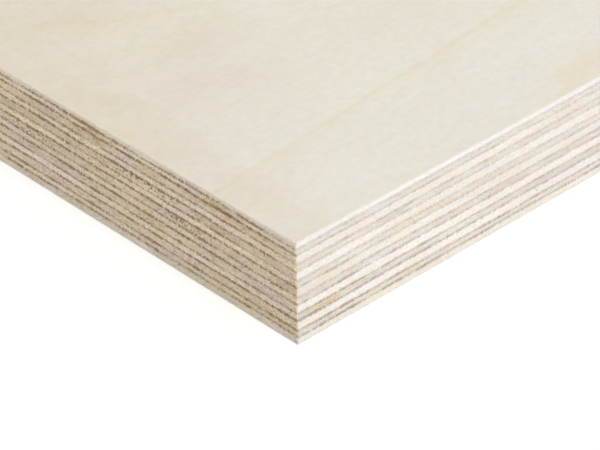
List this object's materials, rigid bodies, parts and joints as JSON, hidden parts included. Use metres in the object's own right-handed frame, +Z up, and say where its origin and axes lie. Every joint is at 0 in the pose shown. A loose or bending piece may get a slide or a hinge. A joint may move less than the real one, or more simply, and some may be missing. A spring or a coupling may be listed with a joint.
{
  "type": "plywood sheet",
  "caption": "Flat rectangular sheet of birch plywood: thin cross-banded veneers with a smooth pale face and square sawn edges, for panels, shelves, floors and joinery.",
  "frame": {"origin": "centre of the underside", "axes": "+X along the sheet and along the grain of its face, +Y across the sheet, +Z up from the back veneer to the face veneer"},
  "size_m": [2.44, 1.22, 0.018],
  "materials": {
    "face_birch": "sanded, matt",
    "back_birch": "sanded, matt",
    "long_grain_birch": "sawn edge, matt",
    "cross_grain_birch": "sawn edge, matt"
  },
  "bodies": {
    "root": {"face_veneer": "face_birch", "cross_ply_02": "cross_grain_birch", "long_ply_03": "long_grain_birch", "cross_ply_04": "cross_grain_birch", "long_ply_05": "long_grain_birch", "cross_ply_06": "cross_grain_birch", "long_ply_07": "long_grain_birch", "cross_ply_08": "cross_grain_birch", "long_ply_09": "long_grain_birch", "cross_ply_10": "cross_grain_birch", "long_ply_11": "long_grain_birch", "cross_ply_12": "cross_grain_birch", "back_veneer": "back_birch"}
  },
  "joints": []
}
